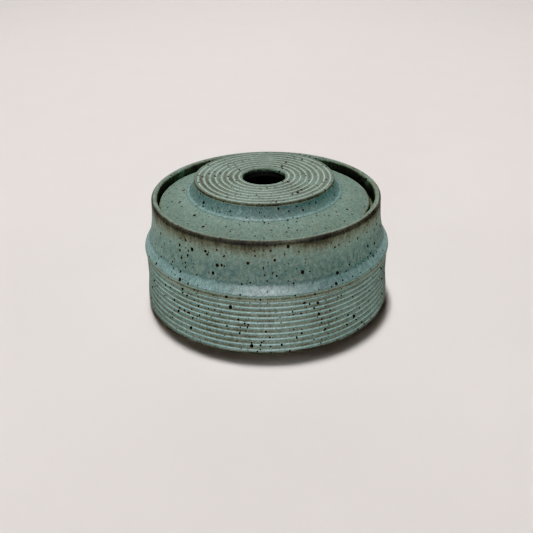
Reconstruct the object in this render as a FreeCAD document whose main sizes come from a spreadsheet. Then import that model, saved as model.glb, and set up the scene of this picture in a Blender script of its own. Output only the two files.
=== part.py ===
"""Flower frog: a low stoneware bowl with a grooved drum, and a lift-off lid
with a raised, ring-grooved disc and one stem hole.

Millimetres, +Z up. The origin is on the floor, on the bowl's own axis.
"""
import FreeCAD, Part
import math
import os
import Sketcher

# Every driving dimension: alias, millimetres (or a plain number), what it is.
SIZES = [
    ("foot_radius", 65.0, "outside of the foot ring"),
    ("foot_inner_radius", 56.0, "inside of the foot ring"),
    ("foot_recess", 2.2, "depth of the hollow inside the foot ring"),
    ("drum_base", 4.0, "height of the drum's lower edge"),
    ("drum_base_radius", 77.4, "drum at its lower edge"),
    ("drum_top", 37.6, "height where the drum meets its top ridge"),
    ("drum_top_radius", 75.9, "drum just under its top ridge"),
    ("shoulder_height", 41.0, "height of the top ridge's upper edge"),
    ("shoulder_radius", 76.8, "top ridge at its upper edge"),
    ("flare_radius", 30.5, "hollow curve from the top ridge to the collar"),
    ("collar_base", 57.5, "height where the collar meets the flare"),
    ("collar_base_radius", 70.9, "collar at its lower end"),
    ("rim_height", 72.2, "top of the rim"),
    ("rim_radius", 70.15, "outside of the rim"),
    ("rim_inner_radius", 66.5, "inside of the rim"),
    ("rim_round", 1.75, "rounding of both sides of the rim"),
    ("seat_height", 61.5, "the ledge that carries the lid"),
    ("ledge_radius", 60.7, "opening inside the ledge"),
    ("ledge_base", 57.5, "underside of the ledge at its edge"),
    ("neck_height", 53.5, "foot of the slope under the ledge"),
    ("neck_radius", 64.6, "cavity at the foot of that slope"),
    ("cavity_shoulder", 39.0, "top of the cavity's straight wall"),
    ("cavity_shoulder_radius", 70.2, "cavity at the top of its straight wall"),
    ("cavity_floor", 9.0, "upper face of the bowl's floor"),
    ("cavity_floor_radius", 70.8, "cavity at the floor"),
    ("cavity_round", 7.0, "rounding between the cavity's wall and floor"),
    ("drum_round", 0.9, "rounding of the drum's upper and lower edges"),
    ("small_round", 0.6, "rounding of the foot, the ledge and the lid's ring"),
    ("drum_groove_count", 10, "grooves turned round the drum"),
    ("drum_groove_first", 6.3, "height of the lowest groove"),
    ("drum_groove_pitch", 3.4, "mean step from groove to groove"),
    ("drum_groove_bow", 0.02, "how far the middle grooves ride up"),
    ("drum_groove_depth", 0.85, "depth of a drum groove"),
    ("disc_top", 81.4, "upper face of the raised disc"),
    ("disc_radius", 42.7, "raised disc"),
    ("disc_edge", 80.0, "height where the cove meets the disc's edge"),
    ("disc_base", 75.0, "underside of the disc"),
    ("disc_round", 0.7, "rounding of the disc's edge"),
    ("cove_round", 9.0, "hollow curve under the disc's edge"),
    ("cove_base", 73.5, "lower end of the cove"),
    ("cove_base_radius", 46.0, "outer end of the cove"),
    ("lid_edge", 66.5, "height of the lid's flange at its edge"),
    ("lid_radius", 65.0, "lid's flange"),
    ("lid_round", 1.4, "rounding of the flange's edge"),
    ("ring_radius", 59.2, "outside of the ring that centres the lid"),
    ("ring_inner_radius", 54.4, "inside of that ring"),
    ("ring_base", 55.5, "lower end of that ring"),
    ("hollow_edge", 64.2, "lid's underside just inside the ring"),
    ("hollow_neck", 68.0, "height of the lid's underside below the cove"),
    ("hollow_neck_radius", 43.0, "lid's underside below the cove"),
    ("hollow_radius", 37.5, "hollow under the disc"),
    ("hole_radius", 13.1, "stem hole"),
    ("hole_round", 1.4, "rounding of the stem hole's upper edge"),
    ("disc_groove_count", 8, "ring grooves in the disc"),
    ("disc_groove_first", 15.5, "radius of the innermost ring groove"),
    ("disc_groove_pitch", 3.52, "step from ring groove to ring groove"),
    ("disc_groove_depth", 0.7, "depth of a ring groove"),
    ("groove_slope", 1.0, "half a groove's width for each millimetre of depth"),
    ("tool_overlap", 0.3, "how far the groove sections stand out of the clay"),
    ("lid_shift", -1.0, "where the lid rests in its side play, along X"),
]

SMALLEST_CUT = 1.0  # cubic millimetres: a groove that takes less has missed
SAME_PLACE = 1e-4  # millimetres: edges this near a named place are at it


def make_sheet(doc):
    """The spreadsheet that drives the model, one row for each dimension."""
    sheet = doc.addObject("Spreadsheet::Sheet", "sizes")
    for row, (alias, value, note) in enumerate(SIZES, start=1):
        sheet.set(f"A{row}", alias)
        sheet.set(f"B{row}", str(value))
        sheet.setAlias(f"B{row}", alias)
        sheet.set(f"C{row}", note)
    doc.recompute()
    return sheet


def sketch_on_section(body, name):
    """A sketch on the body's own XZ plane: X is the radius, Y the height."""
    sketch = body.newObject("Sketcher::SketchObject", name)
    for plane in body.Origin.OriginFeatures:
        if plane.Role == "XZ_Plane":
            sketch.AttachmentSupport = [(plane, "")]
    sketch.MapMode = "FlatFace"
    return sketch


def drive(sketch, kind, references, expression):
    """Add a dimension to the sketch whose value comes from the sheet."""
    value = float(sketch.evalExpression(expression))
    number = sketch.addConstraint(Sketcher.Constraint(kind, *references, value))
    sketch.setExpression(f"Constraints[{number}]", expression)


def place_point(sketch, piece, end, radius, height):
    """Hold one point of the sketch at a radius and a height from the sheet."""
    if radius == "0":
        sketch.addConstraint(Sketcher.Constraint("PointOnObject", piece, end, -2))
    else:
        drive(sketch, "DistanceX", (-1, 1, piece, end), radius)
    if height == "0":
        sketch.addConstraint(Sketcher.Constraint("PointOnObject", piece, end, -1))
    else:
        drive(sketch, "DistanceY", (-1, 1, piece, end), height)


def hollow_arc(start, end, radius):
    """An arc from start to end that curves into the solid on its left.

    It runs clockwise, so the arc's own first point is at the outline's end.
    """
    chord = end - start
    to_right = FreeCAD.Vector(chord.y, -chord.x, 0) / chord.Length
    reach = math.sqrt(radius ** 2 - (chord.Length / 2) ** 2)
    centre = (start + end) / 2 + to_right * reach
    first = math.atan2(end.y - centre.y, end.x - centre.x)
    last = math.atan2(start.y - centre.y, start.x - centre.x)
    circle = Part.Circle(centre, FreeCAD.Vector(0, 0, 1), radius)
    return Part.ArcOfCircle(circle, first, last)


def draw_outline(sketch, corners):
    """Draw a closed anticlockwise outline through corners from the sheet.

    A corner is (radius, height), or (radius, height, curve) where a hollow
    arc of that radius leaves it instead of a straight line.
    """
    points = []
    for corner in corners:
        across, up = (float(sketch.evalExpression(text)) for text in corner[:2])
        points.append(FreeCAD.Vector(across, up, 0))
    pieces = []
    for number, corner in enumerate(corners):
        start = points[number]
        end = points[(number + 1) % len(points)]
        if len(corner) == 2:
            piece = sketch.addGeometry(Part.LineSegment(start, end), False)
            pieces.append((piece, 1, 2))
        else:
            curve = float(sketch.evalExpression(corner[2]))
            piece = sketch.addGeometry(hollow_arc(start, end, curve), False)
            drive(sketch, "Radius", (piece,), corner[2])
            pieces.append((piece, 2, 1))
    for number, corner in enumerate(corners):
        piece, first, last = pieces[number]
        follower, follower_first, _ = pieces[(number + 1) % len(pieces)]
        sketch.addConstraint(Sketcher.Constraint("Coincident", piece, last, follower, follower_first))
        place_point(sketch, piece, first, corner[0], corner[1])


def turn(body, name, corners):
    """Turn an outline about the body's axis, as clay is turned on a wheel."""
    sketch = sketch_on_section(body, f"{name}_outline")
    draw_outline(sketch, corners)
    revolution = body.newObject("PartDesign::Revolution", name)
    revolution.Profile = sketch
    revolution.ReferenceAxis = (sketch, ["V_Axis"])
    revolution.Angle = 360.0
    sketch.Visibility = False
    body.Document.recompute()


def cut_grooves(body, name, sections):
    """Turn V-shaped grooves; each section is three (radius, height) corners."""
    before = body.Tip.Shape.Volume
    sketch = sketch_on_section(body, f"{name}_sections")
    for corners in sections:
        draw_outline(sketch, corners)
    groove = body.newObject("PartDesign::Groove", name)
    groove.Profile = sketch
    groove.ReferenceAxis = (sketch, ["V_Axis"])
    groove.Angle = 360.0
    sketch.Visibility = False
    body.Document.recompute()
    if before - body.Tip.Shape.Volume < SMALLEST_CUT:
        raise RuntimeError(f"{name} cuts nothing")


def v_section(surface, along, depth, upright):
    """A groove's section: its point at the depth, its mouth past the surface.

    The surface faces outwards where upright is True, and upwards otherwise.
    """
    half_mouth = f"sizes.groove_slope * ({depth} + sizes.tool_overlap)"
    bottom = f"{surface} - {depth}"
    mouth = f"{surface} + sizes.tool_overlap"
    low_side = f"{along} - {half_mouth}"
    high_side = f"{along} + {half_mouth}"
    if upright:
        return [(bottom, along), (mouth, low_side), (mouth, high_side)]
    return [(along, bottom), (high_side, mouth), (low_side, mouth)]


def round_edges(body, name, size, places):
    """Round the circular edges at the given radii and heights."""
    base = body.Tip
    wanted = []
    for radius, height in places:
        wanted.append([float(base.evalExpression(text)) for text in (radius, height)])
    names = []
    for number, edge in enumerate(base.Shape.Edges, start=1):
        if not isinstance(edge.Curve, Part.Circle):
            continue
        for radius, height in wanted:
            off = max(abs(edge.Curve.Radius - radius), abs(edge.Curve.Center.z - height))
            if off < SAME_PLACE and edge.isClosed():
                names.append(f"Edge{number}")
    if len(names) != len(places):
        raise RuntimeError(f"{name} found {len(names)} of {len(places)} edges")
    fillet = body.newObject("PartDesign::Fillet", name)
    fillet.Base = (base, names)
    fillet.setExpression("Radius", size)
    body.Document.recompute()


def make_bowl(doc):
    """The bowl: foot ring, grooved drum, flared shoulder, collar and rim.

    A ledge inside the collar carries the lid, over a cavity for the water.
    """
    body = doc.addObject("PartDesign::Body", "bowl")
    turn(body, "turned_bowl", [
        ("0", "sizes.foot_recess"),
        ("sizes.foot_inner_radius", "sizes.foot_recess"),
        ("sizes.foot_inner_radius", "0"),
        ("sizes.foot_radius", "0"),
        ("sizes.foot_radius", "sizes.drum_base"),
        ("sizes.drum_base_radius", "sizes.drum_base"),
        ("sizes.drum_top_radius", "sizes.drum_top"),
        ("sizes.shoulder_radius", "sizes.shoulder_height", "sizes.flare_radius"),
        ("sizes.collar_base_radius", "sizes.collar_base"),
        ("sizes.rim_radius", "sizes.rim_height"),
        ("sizes.rim_inner_radius", "sizes.rim_height"),
        ("sizes.rim_inner_radius", "sizes.seat_height"),
        ("sizes.ledge_radius", "sizes.seat_height"),
        ("sizes.ledge_radius", "sizes.ledge_base"),
        ("sizes.neck_radius", "sizes.neck_height"),
        ("sizes.cavity_shoulder_radius", "sizes.cavity_shoulder"),
        ("sizes.cavity_floor_radius", "sizes.cavity_floor"),
        ("0", "sizes.cavity_floor"),
    ])
    slope = ("(sizes.drum_base_radius - sizes.drum_top_radius)"
             " / (sizes.drum_top - sizes.drum_base)")
    last = "(sizes.drum_groove_count - 1)"
    sections = []
    for number in range(int(doc.sizes.drum_groove_count)):
        height = (f"sizes.drum_groove_first + {number} * sizes.drum_groove_pitch"
                  f" + {number} * ({last} - {number}) * sizes.drum_groove_bow")
        surface = f"sizes.drum_base_radius - ({height} - sizes.drum_base) * {slope}"
        sections.append(v_section(surface, height, "sizes.drum_groove_depth", True))
    cut_grooves(body, "drum_grooves", sections)
    round_edges(body, "rim_rounding", "sizes.rim_round", [
        ("sizes.rim_radius", "sizes.rim_height"),
        ("sizes.rim_inner_radius", "sizes.rim_height"),
    ])
    round_edges(body, "drum_rounding", "sizes.drum_round", [
        ("sizes.shoulder_radius", "sizes.shoulder_height"),
        ("sizes.drum_base_radius", "sizes.drum_base"),
    ])
    round_edges(body, "cavity_rounding", "sizes.cavity_round", [
        ("sizes.cavity_floor_radius", "sizes.cavity_floor"),
    ])
    round_edges(body, "small_rounding", "sizes.small_round", [
        ("sizes.foot_inner_radius", "0"),
        ("sizes.foot_radius", "0"),
        ("sizes.ledge_radius", "sizes.seat_height"),
        ("sizes.ledge_radius", "sizes.ledge_base"),
    ])
    return body


def make_lid(doc):
    """The lid: a sloping flange, a cove and a raised disc with a stem hole.

    A ring under the flange keeps it inside the bowl's ledge.
    """
    body = doc.addObject("PartDesign::Body", "frog_lid")
    turn(body, "turned_lid", [
        ("sizes.hole_radius", "sizes.disc_base"),
        ("sizes.hollow_radius", "sizes.disc_base"),
        ("sizes.hollow_neck_radius", "sizes.hollow_neck"),
        ("sizes.ring_inner_radius", "sizes.hollow_edge"),
        ("sizes.ring_inner_radius", "sizes.ring_base"),
        ("sizes.ring_radius", "sizes.ring_base"),
        ("sizes.ring_radius", "sizes.seat_height"),
        ("sizes.lid_radius", "sizes.seat_height"),
        ("sizes.lid_radius", "sizes.lid_edge"),
        ("sizes.cove_base_radius", "sizes.cove_base", "sizes.cove_round"),
        ("sizes.disc_radius", "sizes.disc_edge"),
        ("sizes.disc_radius", "sizes.disc_top"),
        ("sizes.hole_radius", "sizes.disc_top"),
    ])
    round_edges(body, "hole_rounding", "sizes.hole_round", [
        ("sizes.hole_radius", "sizes.disc_top"),
    ])
    sections = []
    for number in range(int(doc.sizes.disc_groove_count)):
        radius = f"sizes.disc_groove_first + {number} * sizes.disc_groove_pitch"
        sections.append(v_section("sizes.disc_top", radius, "sizes.disc_groove_depth", False))
    cut_grooves(body, "disc_grooves", sections)
    round_edges(body, "disc_rounding", "sizes.disc_round", [
        ("sizes.disc_radius", "sizes.disc_top"),
    ])
    round_edges(body, "flange_rounding", "sizes.lid_round", [
        ("sizes.lid_radius", "sizes.lid_edge"),
    ])
    round_edges(body, "small_rounding", "sizes.small_round", [
        ("sizes.hole_radius", "sizes.disc_base"),
        ("sizes.ring_inner_radius", "sizes.ring_base"),
        ("sizes.ring_radius", "sizes.ring_base"),
        ("sizes.lid_radius", "sizes.seat_height"),
    ])
    body.setExpression("Placement.Base.x", "sizes.lid_shift")
    return body


def check(doc, bodies):
    """Stop before anything is written if a feature or a solid has failed."""
    for item in doc.Objects:
        if "Invalid" in item.State or "Error" in item.State:
            raise RuntimeError(f"{item.Name} failed: {item.State}")
    for body in bodies:
        if body.Shape.isNull() or not body.Shape.isValid() or len(body.Shape.Solids) != 1:
            raise RuntimeError(f"{body.Label} is not one valid solid")


def main():
    doc = FreeCAD.newDocument("flower_frog")
    make_sheet(doc)
    bodies = [make_bowl(doc), make_lid(doc)]
    doc.recompute()
    check(doc, bodies)
    os.makedirs("parts", exist_ok=True)
    for body in bodies:
        body.Shape.exportStep(f"parts/{body.Label}.step")
        box = body.Shape.optimalBoundingBox(False)
        print(f"{body.Label}: {body.Shape.Volume / 1000:.1f} cm3, "
              f"{box.XLength:.2f} x {box.YLength:.2f} x {box.ZLength:.2f} mm, "
              f"z {box.ZMin:.2f} to {box.ZMax:.2f}")


main()
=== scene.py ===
"""The flower frog's looks: a grooved stoneware bowl and its ringed lid, under a
satin sea-green glaze that breaks brown on the edges and pools pale in the hollows.

Outlines are in millimetres; every Blender object is in metres, in the row frame.
"""
import math

import bpy
import numpy as np
from mathutils import Matrix, Vector


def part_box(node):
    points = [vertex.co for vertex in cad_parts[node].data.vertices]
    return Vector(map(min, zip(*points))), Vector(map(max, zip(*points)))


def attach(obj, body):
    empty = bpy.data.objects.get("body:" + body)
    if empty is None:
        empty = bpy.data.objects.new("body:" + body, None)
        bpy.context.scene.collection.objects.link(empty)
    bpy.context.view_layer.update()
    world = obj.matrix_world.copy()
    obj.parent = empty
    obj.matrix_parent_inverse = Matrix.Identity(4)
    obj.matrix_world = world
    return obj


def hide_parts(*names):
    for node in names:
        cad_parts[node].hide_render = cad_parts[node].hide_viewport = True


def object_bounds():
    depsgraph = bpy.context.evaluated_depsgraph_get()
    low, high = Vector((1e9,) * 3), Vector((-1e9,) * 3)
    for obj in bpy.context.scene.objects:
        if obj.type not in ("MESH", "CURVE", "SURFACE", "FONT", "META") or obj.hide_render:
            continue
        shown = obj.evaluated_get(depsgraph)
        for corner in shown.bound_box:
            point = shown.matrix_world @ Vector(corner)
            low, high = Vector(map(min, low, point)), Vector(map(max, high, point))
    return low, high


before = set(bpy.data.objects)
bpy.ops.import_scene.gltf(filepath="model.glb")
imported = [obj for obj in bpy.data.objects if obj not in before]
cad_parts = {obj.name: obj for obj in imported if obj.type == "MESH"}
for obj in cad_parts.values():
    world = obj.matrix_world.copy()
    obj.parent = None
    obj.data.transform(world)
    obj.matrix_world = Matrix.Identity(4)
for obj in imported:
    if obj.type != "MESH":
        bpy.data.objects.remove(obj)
cad_low, cad_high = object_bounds()

MM = 0.001
SEGMENTS = 300  # steps round each turned piece


# ---------------------------------------------------------------- outlines
# An outline is an array of rows (radius, height, pool, bare). Pool says how
# the glaze lies: 1 where it has pooled, 0 where it lies evenly and -1 where
# it has run off an edge; in the hole, the cove and inside the rim it also
# carries painted shade. Bare is 1 on unglazed clay.

def smooth(edge_low, edge_high, value):
    """0 below edge_low, 1 above edge_high, and an even S-curve between."""
    share = np.clip((np.asarray(value, float) - edge_low) / (edge_high - edge_low), 0.0, 1.0)
    return share * share * (3.0 - 2.0 * share)


def bell(centre, width, value):
    """1 at the centre, falling off evenly within about a width each side."""
    return np.exp(-(((np.asarray(value, float) - centre) / width) ** 2))


def lay(value, start, changes):
    """A value that starts out even and changes softly from place to place.

    A change is (where it begins, where it ends, how much it adds).
    """
    total = np.full(len(value), float(start))
    for begins, ends, added in changes:
        total = total + added * smooth(begins, ends, value)
    return total


def rounded(corners, step=3.0, arc_step=0.35):
    """Points along straight runs whose corners are rounded.

    A corner is (radius, height, rounding). The first and last stay sharp.
    """
    points = [np.array(corners[0][:2], float)]
    for number in range(1, len(corners)):
        here = np.array(corners[number][:2], float)
        size = corners[number][2] if number < len(corners) - 1 else 0.0
        back = points[-1] - here
        run = np.linalg.norm(back)
        back = back / run
        arc = [here]
        if size > 0.0:
            ahead = np.array(corners[number + 1][:2], float) - here
            ahead = ahead / np.linalg.norm(ahead)
            half_angle = math.acos(np.clip(back @ ahead, -1.0, 1.0)) / 2.0
            bisector = (back + ahead) / np.linalg.norm(back + ahead)
            centre = here + bisector * size / math.sin(half_angle)
            first = here + back * size / math.tan(half_angle)
            last = here + ahead * size / math.tan(half_angle)
            turn = math.pi - 2.0 * half_angle
            count = max(3, int(math.ceil(size * turn / arc_step)))
            arc = []
            for part in range(count + 1):
                share = part / count
                spoke = ((first - centre) * math.sin((1.0 - share) * turn)
                         + (last - centre) * math.sin(share * turn))
                arc.append(centre + spoke / math.sin(turn))
        start = points[-1]
        pieces = max(1, int(round(np.linalg.norm(arc[0] - start) / step)))
        for part in range(1, pieces):
            points.append(start + (arc[0] - start) * part / pieces)
        points.extend(arc)
    return np.array(points)


def spline(knots, step):
    """A smooth curve through a few knots, in even steps (Catmull-Rom)."""
    knots = np.array(knots, float)
    padded = np.vstack([2 * knots[0] - knots[1], knots, 2 * knots[-1] - knots[-2]])
    points = []
    for number in range(1, len(padded) - 2):
        before, start, end, after = padded[number - 1:number + 3]
        count = max(2, int(round(np.linalg.norm(end - start) / step)))
        for part in range(count):
            t = part / count
            points.append(0.5 * (2 * start + (end - before) * t
                                 + (2 * before - 5 * start + 4 * end - after) * t ** 2
                                 + (3 * start - before - 3 * end + after) * t ** 3))
    points.append(knots[-1])
    return np.array(points)


def glazed(points, pool, bare=0.0):
    """Add the glaze's two columns to a stretch of outline."""
    rows = np.zeros((len(points), 4))
    rows[:, :2] = points
    rows[:, 2] = pool
    rows[:, 3] = bare
    return rows


# ---------------------------------------------------------------- the bowl
bowl_low, bowl_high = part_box("bowl")
BOWL_RADIUS = (bowl_high.x - bowl_low.x) / 2.0 / MM
LIP_TOP = bowl_high.z / MM - 0.35
FOOT_HOLLOW = 2.3  # how far the underside stands off the table
FOOT_INNER = 56.6
FOOT_OUTER = 64.4
BASE_RADIUS = 77.3  # the drum's lower edge, where the bowl is widest
DRUM_BASE = 4.1
DRUM_TOP = 37.2
GROOVE_STEP = 0.27  # fine enough to draw the round grooves
GROOVES = 10
GROOVE_FIRST = 6.35
GROOVE_PITCH = 3.4
GROOVE_BOW = 0.02
GROOVE_DEPTH = 0.85
GROOVE_WIDTH = 0.7
RIDGE_RADIUS = 75.95
DRUM_FLARE = BOWL_RADIUS - 0.1 - RIDGE_RADIUS
RIM_RADIUS = 70.15
RIM_INNER = 66.5
SEAT = 61.45
LEDGE_RADIUS = 60.7
CAVITY_FLOOR = 9.0
RIDGE_GLAZE = -0.22
GROOVE_GLAZE = 1.12
FOOT_BARE = [(54.0, 55.0, 1.0), (65.2, 65.8, -1.0)]
SHOULDER_GLAZE = [
    (37.5, 39.0, 0.2), (38.6, 39.5, -0.32), (40.1, 40.9, 0.32),  # the ridge above the drum
    (40.9, 42.0, 0.36), (45.0, 49.0, -0.36),                     # the pale pool on the flare
    (46.0, 50.0, 0.08), (54.0, 62.0, -0.08),                     # the collar's lower half
    (60.0, 66.0, -0.2), (65.0, 68.0, -0.22), (67.6, 70.6, -0.4)]  # the brown haze under the rim
LIP_GLAZE = [(66.5, 67.2, 0.25), (68.9, 69.7, -0.75)]


def groove_heights():
    """Heights of the drum's grooves, a little wider apart at the bottom."""
    number = np.arange(GROOVES)
    return GROOVE_FIRST + number * GROOVE_PITCH + number * (GROOVES - 1 - number) * GROOVE_BOW


def drum():
    """The drum's wall: a slight flare to the base, cut by round grooves."""
    height = np.arange(DRUM_BASE + 1.0, DRUM_TOP, GROOVE_STEP)
    radius = RIDGE_RADIUS + DRUM_FLARE * (1.0 - smooth(6.0, 24.0, height))
    pool = np.full(len(height), RIDGE_GLAZE)
    for groove in groove_heights():
        radius = radius - GROOVE_DEPTH * bell(groove, GROOVE_WIDTH, height)
        pool = pool + GROOVE_GLAZE * bell(groove - 0.12, 0.58, height)
    return glazed(np.column_stack([radius, height]), pool)


def foot():
    """The hollowed underside and its bare foot ring, out to the drum's base."""
    points = rounded([
        (0.0, FOOT_HOLLOW, 0.0), (55.4, FOOT_HOLLOW, 1.2), (FOOT_INNER, 0.0, 0.7), (FOOT_OUTER, 0.0, 0.9),
        (65.6, DRUM_BASE, 0.8), (76.4, DRUM_BASE, 0.0)])
    ring = glazed(points, -0.2, lay(points[:, 0], 0.0, FOOT_BARE))
    edge = rounded([
        (76.4, DRUM_BASE, 0.0), (BASE_RADIUS, DRUM_BASE, 0.75), (BASE_RADIUS, DRUM_BASE + 1.0, 0.0)])[1:-1]
    return np.vstack([ring, glazed(edge, -0.55)])


def shoulder():
    """The ridge above the drum, the flare and the collar."""
    points = spline([
        (75.95, 37.3), (76.25, 38.0), (76.5, 39.0), (76.6, 40.2), (76.3, 41.3), (75.75, 42.3),
        (74.75, 44.0), (73.6, 46.3), (72.5, 49.2), (71.6, 53.2), (70.95, 57.6), (70.62, 61.5),
        (70.35, 65.5), (70.2, 69.0)], 0.6)
    return glazed(points, lay(points[:, 1], -0.2, SHOULDER_GLAZE))


def lip():
    """The rolled rim."""
    points = rounded([
        (70.2, 69.3, 0.0), (RIM_RADIUS, LIP_TOP, 1.7), (RIM_INNER, LIP_TOP, 1.7), (RIM_INNER, 68.5, 0.0)],
        0.5, 0.25)[1:]
    return glazed(points, lay(points[:, 0], -0.35, LIP_GLAZE))


def inside():
    """The wall inside the rim, the lid's ledge and the cavity for water."""
    points = rounded([
        (RIM_INNER, 68.5, 0.0), (66.6, SEAT, 0.8), (LEDGE_RADIUS, SEAT, 1.0), (LEDGE_RADIUS, 57.5, 1.0),
        (64.6, 53.5, 2.0), (70.2, 39.0, 8.0), (70.8, CAVITY_FLOOR, 7.0), (0.0, CAVITY_FLOOR, 0.0)],
        2.5, 0.7)[1:]
    # Above 62 mm the wall inside the rim is darker and browner: partly a browner glaze under the lip, partly
    # painted shade from the lid.
    return glazed(points, lay(points[:, 1], -0.2, [(60.0, 62.0, -0.15)]))


def bowl_outline():
    return np.vstack([foot(), drum(), shoulder(), lip(), inside()])


# ---------------------------------------------------------------- the lid
lid_low, lid_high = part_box("frog_lid")
LID_X = (lid_low.x + lid_high.x) / 2.0 / MM
LID_RADIUS = (lid_high.x - lid_low.x) / 2.0 / MM
DISC_TOP = lid_high.z / MM
RING_BASE = lid_low.z / MM
RINGS = 8
RING_FIRST = 15.1
RING_PITCH = 3.59
RING_DEPTH = 0.5
RING_WIDTH = 0.75
HOLE_RADIUS = 13.1
DISC_RADIUS = 42.6
DISC_FACE = DISC_TOP - 0.05
FLANGE_BASE = 61.55
RING_RIDGE_GLAZE = -0.28
RING_GROOVE_GLAZE = 1.2


def disc():
    """The disc's face from its edge to the hole, with its ring grooves."""
    radius = np.arange(DISC_RADIUS - 0.9, HOLE_RADIUS + 1.5, -GROOVE_STEP)
    height = np.full(len(radius), DISC_FACE)
    pool = np.full(len(radius), RING_RIDGE_GLAZE)
    for number in range(RINGS):
        ring = RING_FIRST + number * RING_PITCH
        height = height - RING_DEPTH * bell(ring, RING_WIDTH, radius)
        pool = pool + RING_GROOVE_GLAZE * bell(ring, 0.66, radius)
    return glazed(np.column_stack([radius, height]), pool)


def underside():
    """The hole's lower edge, the lid's hollow and its centring ring."""
    points = rounded([
        (HOLE_RADIUS, 77.0, 0.0), (HOLE_RADIUS, 75.0, 0.8), (37.5, 75.0, 3.0), (43.0, 68.0, 4.0),
        (54.4, 64.2, 2.0), (54.4, RING_BASE, 1.2), (59.2, RING_BASE, 1.2), (59.2, FLANGE_BASE, 0.8),
        (64.2, FLANGE_BASE, 0.0)], 2.5, 0.6)
    return glazed(points, -0.3)


def flange():
    """The flange's edge, its slope and the cove that rises to the disc."""
    edge = rounded([
        (64.2, FLANGE_BASE, 0.0), (LID_RADIUS, FLANGE_BASE, 0.6), (LID_RADIUS, 66.5, 1.3),
        (62.2, 67.55, 0.0)], 0.9, 0.3)[1:-1]
    edge = glazed(edge, lay(edge[:, 0], 0.0, [(63.6, 64.6, -0.38)]))
    top = spline([
        (62.2, 67.5), (58.0, 69.05), (53.5, 70.7), (49.5, 72.1), (47.4, 72.95), (46.0, 73.75), (44.7, 75.0),
        (43.7, 76.8), (43.0, 78.7), (42.65, 80.0)], 0.6)
    # Above 74 mm the cove takes the darker, bluer tone: partly a bluer glaze, partly painted shade. The
    # disc's edge breaks brown, and a paler line runs round the cove's foot.
    pool = lay(top[:, 1], 0.0, [(73.0, 74.0, 0.16), (79.6, 80.1, -0.7)]) + 0.4 * bell(46.8, 0.8, top[:, 0])
    return np.vstack([edge, glazed(top, pool)])


def disc_edge():
    points = rounded([
        (42.65, 80.0, 0.0), (DISC_RADIUS, DISC_FACE, 0.65), (DISC_RADIUS - 0.9, DISC_FACE, 0.0)],
        0.4, 0.2)[1:-1]
    return glazed(points, lay(DISC_RADIUS - points[:, 0], -0.45, [(0.2, 0.6, 0.45)]))


def hole():
    points = rounded([
        (HOLE_RADIUS + 1.5, DISC_FACE, 0.0), (HOLE_RADIUS, DISC_FACE, 1.3), (HOLE_RADIUS, 77.0, 0.0)],
        1.0, 0.25)[:-1]
    # Painted shade: below its rounded edge the hole's wall takes the darkest run-off tone, standing for the
    # shade inside the hole.
    return glazed(points, lay(points[:, 1], -1.0, [(77.4, 79.2, 0.9)]))


def lid_outline():
    return np.vstack([underside(), flange(), disc_edge(), disc(), hole()])


# ---------------------------------------------------------------- meshes

def wheel_waver(angle, seed):
    """How far a hand-turned wall strays from round, in millimetres."""
    rng = np.random.default_rng(seed)
    waver = np.zeros(SEGMENTS)
    for order in range(2, 7):
        waver += rng.uniform(0.01, 0.03) * np.sin(order * angle + rng.uniform(0.0, 2.0 * math.pi))
    return waver


def turned_piece(name, outline, centre_x, closed, seed):
    """Turn an outline into a closed mesh, with the slight waver of a wheel.

    A closed outline is a ring's section; an open one starts and ends on the axis.
    """
    angle = np.arange(SEGMENTS) * 2.0 * math.pi / SEGMENTS
    waver = wheel_waver(angle, seed)
    radius, height, pool, bare = outline.T
    rings = len(outline)
    grid_radius = radius[:, None] + waver[None, :] * smooth(10.0, 40.0, radius)[:, None]
    x = grid_radius * np.cos(angle) + centre_x
    y = grid_radius * np.sin(angle)
    z = np.repeat(height[:, None], SEGMENTS, axis=1)
    points = np.stack([x, y, z], axis=-1)
    here = np.arange(SEGMENTS)
    follow = (here + 1) % SEGMENTS
    faces = []
    first_ring, last_ring = (0, rings) if closed else (1, rings - 2)
    for ring in range(first_ring, last_ring):
        after = (ring + 1) % rings
        faces.append(np.column_stack([
            ring * SEGMENTS + here, ring * SEGMENTS + follow,
            after * SEGMENTS + follow, after * SEGMENTS + here]))
    faces = np.vstack(faces)
    vertices = points.reshape(-1, 3)
    pool_values = np.repeat(pool, SEGMENTS)
    bare_values = np.repeat(bare, SEGMENTS)
    mesh = bpy.data.meshes.new(name)
    if closed:
        mesh.from_pydata((vertices * MM).tolist(), [], faces.tolist())
    else:
        # The first and last rings shrink to one vertex each, on the axis.
        keep = slice(SEGMENTS, (rings - 1) * SEGMENTS)
        poles = np.array([[centre_x, 0.0, height[0]], [centre_x, 0.0, height[-1]]])
        vertices = np.vstack([vertices[keep], poles])
        pool_values = np.concatenate([pool_values[keep], [pool[0], pool[-1]]])
        bare_values = np.concatenate([bare_values[keep], [bare[0], bare[-1]]])
        faces = faces - SEGMENTS
        low_pole = len(vertices) - 2
        high_pole = len(vertices) - 1
        last = (rings - 3) * SEGMENTS
        caps = [(low_pole, int(second), int(first)) for first, second in zip(here, follow)]
        caps += [(high_pole, int(last + first), int(last + second)) for first, second in zip(here, follow)]
        mesh.from_pydata((vertices * MM).tolist(), [], faces.tolist() + caps)
    for title, values in (("pool", pool_values), ("bare", bare_values)):
        attribute = mesh.attributes.new(title, "FLOAT", "POINT")
        attribute.data.foreach_set("value", values.astype(np.float32))
    mesh.polygons.foreach_set("use_smooth", np.ones(len(mesh.polygons), bool))
    mesh.update()
    mesh.validate()
    piece = bpy.data.objects.new(name, mesh)
    bpy.context.scene.collection.objects.link(piece)
    return piece


# ---------------------------------------------------------------- materials

def srgb(red, green, blue):
    """A colour given on screen (0 to 255), as the linear one Blender uses."""
    def linear(channel):
        share = channel / 255.0
        return share / 12.92 if share <= 0.04045 else ((share + 0.055) / 1.055) ** 2.4
    return (linear(red), linear(green), linear(blue), 1.0)
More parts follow.
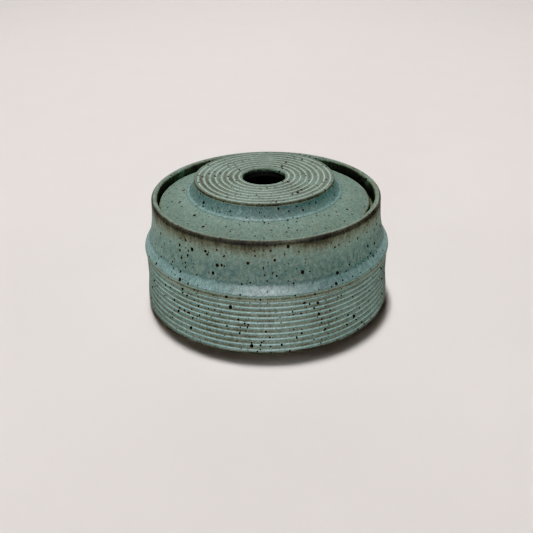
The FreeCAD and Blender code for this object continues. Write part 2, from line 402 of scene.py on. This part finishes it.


# The glaze's colour by its thickness, from run off (0) to just pooling. The
# darkest stop also serves as painted shade in the hole.
GLAZE_TONES = [
    (0.0, srgb(36, 31, 24)),
    (0.2, srgb(73, 73, 61)),
    (0.34, srgb(99, 103, 87)),
    (0.43, srgb(120, 134, 119)),
    (0.5, srgb(124, 147, 134)),
    # Darker and bluer: the cove's tone, partly a bluer glaze and partly painted shade.
    (0.58, srgb(86, 113, 110)),
    (0.67, srgb(115, 146, 142)),
]
POOLED = 0.82
DEEPEST = 1.0
CLAY_TONES = [(0.3, srgb(150, 128, 104)), (0.7, srgb(182, 162, 138))]
FLOOR_TONES = [(0.3, (0.895, 0.845, 0.825, 1.0)), (0.7, (0.905, 0.855, 0.835, 1.0))]
DUST_COLOUR = srgb(50, 46, 40)
HALO_COLOUR = srgb(60, 40, 33)
CORE_COLOUR = srgb(30, 19, 16)

# Iron specks: the size of a cell, the share of the cells with a speck, and the
# smallest and the largest radius, in metres.
BIG_SPECKS = (0.0038, 0.95, 0.0004, 0.0011)
MIDDLE_SPECKS = (0.0023, 0.72, 0.0002, 0.00062)
FINE_SPECKS = (0.0012, 0.55, 0.00012, 0.0003)
STREAKS = (0.0026, 0.42, 0.00012, 0.00034)


class Shader:
    """A short way to write a node tree."""

    def __init__(self, name):
        self.material = bpy.data.materials.new(name)
        self.material.use_nodes = True
        self.tree = self.material.node_tree
        self.tree.nodes.clear()

    def node(self, kind, settings=None, **inputs):
        made = self.tree.nodes.new(kind)
        for key, value in (settings or {}).items():
            setattr(made, key, value)
        for key, value in inputs.items():
            self.plug(made.inputs[key.replace("_", " ")], value)
        return made

    def plug(self, socket, value):
        if isinstance(value, bpy.types.NodeSocket):
            self.tree.links.new(value, socket)
        else:
            socket.default_value = value

    def plug_all(self, made, values):
        """Fill a node's sockets in their own order."""
        for socket, value in zip(made.inputs, values):
            self.plug(socket, value)
        return made.outputs[0]

    def math(self, operation, *values):
        return self.plug_all(self.node("ShaderNodeMath", {"operation": operation}), values)

    def vector_math(self, operation, *values):
        return self.plug_all(self.node("ShaderNodeVectorMath", {"operation": operation}), values)

    def mix(self, share, first, second, blend="MIX"):
        made = self.node("ShaderNodeMix", {"data_type": "RGBA", "blend_type": blend})
        self.plug(made.inputs[0], share)
        self.plug(made.inputs[6], first)
        self.plug(made.inputs[7], second)
        return made.outputs[2]

    def spread(self, value, low, high, new_low, new_high, kind="LINEAR"):
        made = self.node("ShaderNodeMapRange", {"interpolation_type": kind})
        return self.plug_all(made, (value, low, high, new_low, new_high))

    def swing(self, noise, low, high):
        """A noise's usual range, laid out from low to high."""
        return self.spread(noise, 0.3, 0.7, low, high)

    def noise(self, place, size, detail=3.0, rough=0.5):
        """Soft noise from 0 to 1 whose lumps are about size metres apart."""
        made = self.node("ShaderNodeTexNoise", {"noise_dimensions": "3D"}, Vector=place, Scale=1.0 / size,
                         Detail=detail, Roughness=rough, Distortion=0.0)
        return made.outputs[0]

    def squeezed(self, place, height):
        """Places pressed flat, so that a pattern on them comes out taller."""
        return self.node("ShaderNodeMapping", Vector=place, Scale=(1.0, 1.0, height)).outputs[0]

    def ramp(self, value, stops):
        made = self.node("ShaderNodeValToRGB")
        self.plug(made.inputs[0], value)
        elements = made.color_ramp.elements
        while len(elements) < len(stops):
            elements.new(0.5)
        for element, (place, colour) in zip(elements, stops):
            element.position = place
            element.color = colour
        return made.outputs[0]

    def attribute(self, name):
        return self.node("ShaderNodeAttribute", {"attribute_name": name}).outputs["Fac"]

    def finish(self, **inputs):
        """Close the tree with one principled surface."""
        surface = self.node("ShaderNodeBsdfPrincipled", **inputs)
        self.node("ShaderNodeOutputMaterial", Surface=surface.outputs[0])
        return self.material


def specks(shader, place, layer, crowd):
    """Specks, as a depth in metres: above 0 inside a speck, deepest at its middle.

    Layer is one of the rows above, and crowd, from 0 to 1, says where they gather.
    """
    cell, share, smallest, largest = layer
    cells = shader.node("ShaderNodeTexVoronoi", {"voronoi_dimensions": "3D", "feature": "F1"},
                        Vector=place, Scale=1.0 / cell, Randomness=1.0)
    chance = shader.node("ShaderNodeSeparateColor", Color=cells.outputs["Color"])
    radius = shader.spread(chance.outputs["Green"], 0.0, 1.0, smallest, largest)
    depth = shader.math("SUBTRACT", radius, shader.math("MULTIPLY", cells.outputs["Distance"], cell))
    absent = shader.math("LESS_THAN", shader.math("MULTIPLY", crowd, share), chance.outputs["Red"])
    return shader.math("SUBTRACT", depth, shader.math("MULTIPLY", absent, cell))


def glaze_thickness(shader, cloud, mottle, runs):
    """How thick the glaze lies, from run off (0) to pooled (1).

    Only broken edges wander with the clouds; the fine mottling is everywhere.
    """
    pool = shader.attribute("pool")
    thickness = shader.spread(pool, -1.0, 1.0, 0.0, 1.0)
    broken = shader.spread(pool, -0.4, -0.05, 1.0, 0.08, "SMOOTHSTEP")
    wander = shader.math("MULTIPLY", shader.swing(cloud, -0.13, 0.13), broken)
    for change in (wander, shader.swing(mottle, -0.04, 0.04), shader.swing(runs, -0.04, 0.04)):
        thickness = shader.math("ADD", thickness, change)
    return thickness


def glaze_colour(shader, thickness, cloud, grain, runs, pooled, deepest):
    """The glaze's colour by its thickness, with grain, runs and clouds."""
    colour = shader.ramp(thickness, GLAZE_TONES + [(POOLED, pooled), (DEEPEST, deepest)])
    tone = shader.spread(grain, 0.25, 0.75, 0.52, 1.48)
    for change in (shader.swing(runs, 0.93, 1.07), shader.swing(cloud, 0.95, 1.05)):
        tone = shader.math("MULTIPLY", tone, change)
    grey = shader.node("ShaderNodeCombineColor", Red=tone, Green=tone, Blue=tone)
    return shader.mix(1.0, colour, grey.outputs[0], "MULTIPLY")


def add_specks(shader, place, colour):
    """Lay the iron specks over a colour, and say where their halos and cores are."""
    ragged = shader.node("ShaderNodeTexNoise", Vector=place, Scale=1400.0, Detail=2.0).outputs["Color"]
    speck_place = shader.vector_math("MULTIPLY_ADD", ragged, (0.0004, 0.0004, 0.0004),
                                     shader.squeezed(place, 0.85))
    crowd = shader.spread(shader.noise(place, 0.018, 2.0), 0.45, 0.6, 0.07, 1.0)
    even_crowd = shader.spread(shader.noise(place, 0.012, 2.0), 0.38, 0.62, 0.35, 1.0)
    big = specks(shader, speck_place, BIG_SPECKS, crowd)
    middle = specks(shader, speck_place, MIDDLE_SPECKS, even_crowd)
    fine = specks(shader, speck_place, FINE_SPECKS, even_crowd)
    streaks = specks(shader, shader.squeezed(place, 0.3), STREAKS, even_crowd)
    depth = shader.math("MAXIMUM", big, middle)
    halo = shader.spread(depth, -0.00016, 0.0001, 0.0, 0.9, "SMOOTHSTEP")
    core = shader.spread(depth, 0.0, 0.0003, 0.0, 1.0, "SMOOTHSTEP")
    dust = shader.spread(shader.math("MAXIMUM", fine, streaks), 0.0, 0.00014, 0.0, 0.62, "SMOOTHSTEP")
    for share, shade in ((dust, DUST_COLOUR), (halo, HALO_COLOUR), (core, CORE_COLOUR)):
        colour = shader.mix(share, colour, shade)
    return colour, halo, core


def glaze(name, offset, pooled, deepest):
    """Satin sea-green stoneware glaze: pooled, broken, mottled and specked.

    Pooled and deepest are the colours where it has gathered, thick and thickest.
    """
    shader = Shader(name)
    object_place = shader.node("ShaderNodeTexCoord").outputs["Object"]
    place = shader.node("ShaderNodeMapping", Vector=object_place, Location=offset).outputs[0]
    cloud = shader.noise(place, 0.022, 3.0)
    mottle = shader.noise(place, 0.0028, 4.0, 0.6)
    grain = shader.noise(place, 0.0010, 3.0, 0.75)
    runs = shader.noise(shader.squeezed(place, 0.16), 0.0015, 3.0, 0.6)

    thickness = glaze_thickness(shader, cloud, mottle, runs)
    colour = glaze_colour(shader, thickness, cloud, grain, runs, pooled, deepest)
    colour, halo, core = add_specks(shader, place, colour)

    clay = shader.ramp(shader.noise(place, 0.0012, 5.0, 0.7), CLAY_TONES)
    bare = shader.math("ADD", shader.attribute("bare"), shader.swing(mottle, -0.25, 0.25))
    bare_share = shader.spread(bare, 0.4, 0.6, 0.0, 1.0, "SMOOTHSTEP")
    colour = shader.mix(bare_share, colour, clay)

    # Pooled glaze is satin; run-off glaze, specks and bare clay are matt.
    satin = shader.spread(thickness, 0.57, 0.67, 0.85, 0.56, "SMOOTHSTEP")
    roughness = shader.math("ADD", satin, shader.swing(mottle, -0.05, 0.05))
    for matt in (halo, shader.math("MULTIPLY", bare_share, 0.85)):
        roughness = shader.math("MAXIMUM", roughness, matt)

    height = shader.math("MULTIPLY", mottle, 0.00012)
    height = shader.math("ADD", height, shader.math("MULTIPLY", grain, 0.00009))
    height = shader.math("SUBTRACT", height, shader.math("MULTIPLY", core, 0.00008))
    bump = shader.node("ShaderNodeBump", Height=height, Strength=0.6, Distance=1.0)
    return shader.finish(Base_Color=colour, Roughness=roughness, IOR=1.5, Normal=bump.outputs[0])


def floor_material():
    shader = Shader("pale_floor")
    place = shader.node("ShaderNodeTexCoord").outputs["Object"]
    colour = shader.ramp(shader.noise(place, 0.05, 4.0), FLOOR_TONES)
    height = shader.noise(place, 0.0015, 3.0)
    bump = shader.node("ShaderNodeBump", Height=height, Strength=0.15, Distance=0.0002)
    return shader.finish(Base_Color=colour, Roughness=0.9, Specular_IOR_Level=0.0, Normal=bump.outputs[0])


# ---------------------------------------------------------------- the object

def make_bowl():
    bowl = turned_piece("bowl_shell", bowl_outline(), 0.0, False, 3)
    bowl.data.materials.append(glaze("bowl_glaze", (0.0, 0.0, 0.0), srgb(146, 180, 175), srgb(182, 210, 205)))
    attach(bowl, "bowl")
    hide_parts("bowl")


def make_lid():
    lid = turned_piece("lid_shell", lid_outline(), LID_X, True, 8)
    elsewhere = (0.31, 0.17, 0.05)  # so that its specks aren't the bowl's
    lid.data.materials.append(glaze("lid_glaze", elsewhere, srgb(157, 177, 166), srgb(196, 208, 194)))
    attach(lid, "lid")
    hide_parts("frog_lid")


# ---------------------------------------------------------------- the stage
FLOOR_RADIUS = 2.6
SWEEP_RADIUS = 1.4
FLOOR_SIDES = 96
WARM_WHITE = (1.0, 0.99, 0.98)
COOL_WHITE = (0.92, 0.97, 1.0)
CARD_WHITE = (0.95, 0.98, 1.0)
ROOM_COLOUR = (0.92, 0.96, 1.0, 1.0)
ROOM_STRENGTH = 0.008
NO_GRID = math.pi
LOW_GRID = math.radians(20.0)
# Name, azimuth, elevation, distance, radius, brightness, colour and grid: see softbox().
LIGHTS = [
    ("main_light", 197.0, 80.3, 3.0, 0.2, 2.34, WARM_WHITE, NO_GRID),
    ("front_light", -14.0, 5.0, 2.4, 0.18, 0.76, COOL_WHITE, LOW_GRID),
    ("left_light", -85.0, 5.0, 2.4, 0.18, 0.84, COOL_WHITE, LOW_GRID),
    ("right_light", 85.0, 5.0, 2.4, 0.18, 0.62, COOL_WHITE, LOW_GRID),
    ("back_light", 180.0, 25.0, 2.4, 0.8, 0.25, (0.96, 0.98, 1.0), NO_GRID),
]
SHEEN_CARD = ("sheen_card", -1.0, 33.0, 1.6, 0.38, 7.5, CARD_WHITE, NO_GRID)
TONES = [(0.03, 0.002), (0.06, 0.013), (0.12, 0.09), (0.2, 0.186), (0.35, 0.35)]  # (light, shown)
SENSOR_WIDTH = 36.0
CAMERA_FOCAL = 47.28
CAMERA_BACK = 0.400
CAMERA_HEIGHT = 0.2401
CAMERA_SIDE = -0.00035
CAMERA_PITCH = math.radians(29.06)
CAMERA_ROLL = math.radians(-0.83)


def make_stage():
    """A pale floor that sweeps up into a wall all round."""
    profile = [(0.0, 0.0), (0.5, 0.0), (FLOOR_RADIUS, 0.0)]
    for part in range(1, 13):
        angle = math.pi / 2.0 * part / 12
        rise = SWEEP_RADIUS * (1.0 - math.cos(angle))
        profile.append((FLOOR_RADIUS + SWEEP_RADIUS * math.sin(angle), rise))
    profile.append((FLOOR_RADIUS + SWEEP_RADIUS, SWEEP_RADIUS + 1.0))
    vertices = [(0.0, 0.0, 0.0)]
    for radius, height in profile[1:]:
        for side in range(FLOOR_SIDES):
            angle = 2.0 * math.pi * side / FLOOR_SIDES
            vertices.append((radius * math.cos(angle), radius * math.sin(angle), height))
    faces = [(0, 1 + side, 1 + (side + 1) % FLOOR_SIDES) for side in range(FLOOR_SIDES)]
    for ring in range(len(profile) - 2):
        for side in range(FLOOR_SIDES):
            here = 1 + ring * FLOOR_SIDES + side
            beside = 1 + ring * FLOOR_SIDES + (side + 1) % FLOOR_SIDES
            faces.append((here, here + FLOOR_SIDES, beside + FLOOR_SIDES, beside))
    mesh = bpy.data.meshes.new("floor")
    mesh.from_pydata(vertices, [], faces)
    mesh.polygons.foreach_set("use_smooth", np.ones(len(mesh.polygons), bool))
    floor = bpy.data.objects.new("floor", mesh)
    bpy.context.scene.collection.objects.link(floor)
    floor.location.z = cad_low.z
    mesh.materials.append(floor_material())


def softbox(name, azimuth, elevation, distance, radius, brightness, colour, grid):
    """A round soft light that looks at the object from one direction.

    Azimuth is in degrees from the camera's side, anticlockwise from above,
    and brightness is the light that falls on a surface facing it (W/m2).
    Grid is the angle that a honeycomb in front of it lets the light fan out.
    """
    data = bpy.data.lights.new(name, "AREA")
    data.shape = "DISK"
    data.size = 2.0 * radius
    data.energy = brightness * math.pi * distance ** 2
    if grid < NO_GRID:
        data.spread = grid
        data.energy *= 1.0 - (grid / 2.0) / math.tan(grid / 2.0)
    data.color = colour
    light = bpy.data.objects.new(name, data)
    bpy.context.scene.collection.objects.link(light)
    around = math.radians(azimuth)
    up = math.radians(elevation)
    direction = Vector((math.sin(around) * math.cos(up), -math.cos(around) * math.cos(up), math.sin(up)))
    light.location = direction * distance + Vector((0.0, 0.0, (cad_low.z + cad_high.z) / 2.0))
    light.rotation_mode = "QUATERNION"
    light.rotation_quaternion = direction.to_track_quat("Z", "Y")
    light.visible_camera = False
    return light


def make_lights():
    """A main light almost overhead, weak cool ones low all round, and a dim room.

    The sheen card only shows in the glaze's gloss and lights nothing else.
    """
    for light in LIGHTS:
        softbox(*light)
    sheen = softbox(*SHEEN_CARD)
    sheen.visible_diffuse = False
    world = bpy.data.worlds.new("room")
    world.use_nodes = True
    background = world.node_tree.nodes["Background"]
    background.inputs["Color"].default_value = ROOM_COLOUR
    background.inputs["Strength"].default_value = ROOM_STRENGTH
    bpy.context.scene.world = world


def set_tones():
    """Plain colours, with the deep shadows held down as a camera does."""
    view = bpy.context.scene.view_settings
    view.view_transform = "Standard"
    view.use_curve_mapping = True
    curve = view.curve_mapping.curves[3]
    for light, shown in TONES:
        curve.points.new(light, shown)
    view.curve_mapping.update()


def make_camera():
    data = bpy.data.cameras.new("camera")
    data.lens = CAMERA_FOCAL
    data.sensor_width = SENSOR_WIDTH
    data.clip_start = 0.01
    camera = bpy.data.objects.new("camera", data)
    bpy.context.scene.collection.objects.link(camera)
    centre = (cad_low + cad_high) / 2.0
    place = Vector((centre.x + CAMERA_SIDE, centre.y - CAMERA_BACK, cad_low.z + CAMERA_HEIGHT))
    turn = Matrix.Rotation(math.pi / 2.0 - CAMERA_PITCH, 4, "X") @ Matrix.Rotation(CAMERA_ROLL, 4, "Z")
    camera.matrix_world = Matrix.Translation(place) @ turn
    bpy.context.scene.camera = camera


make_bowl()
make_lid()
make_stage()
make_lights()
set_tones()
make_camera()
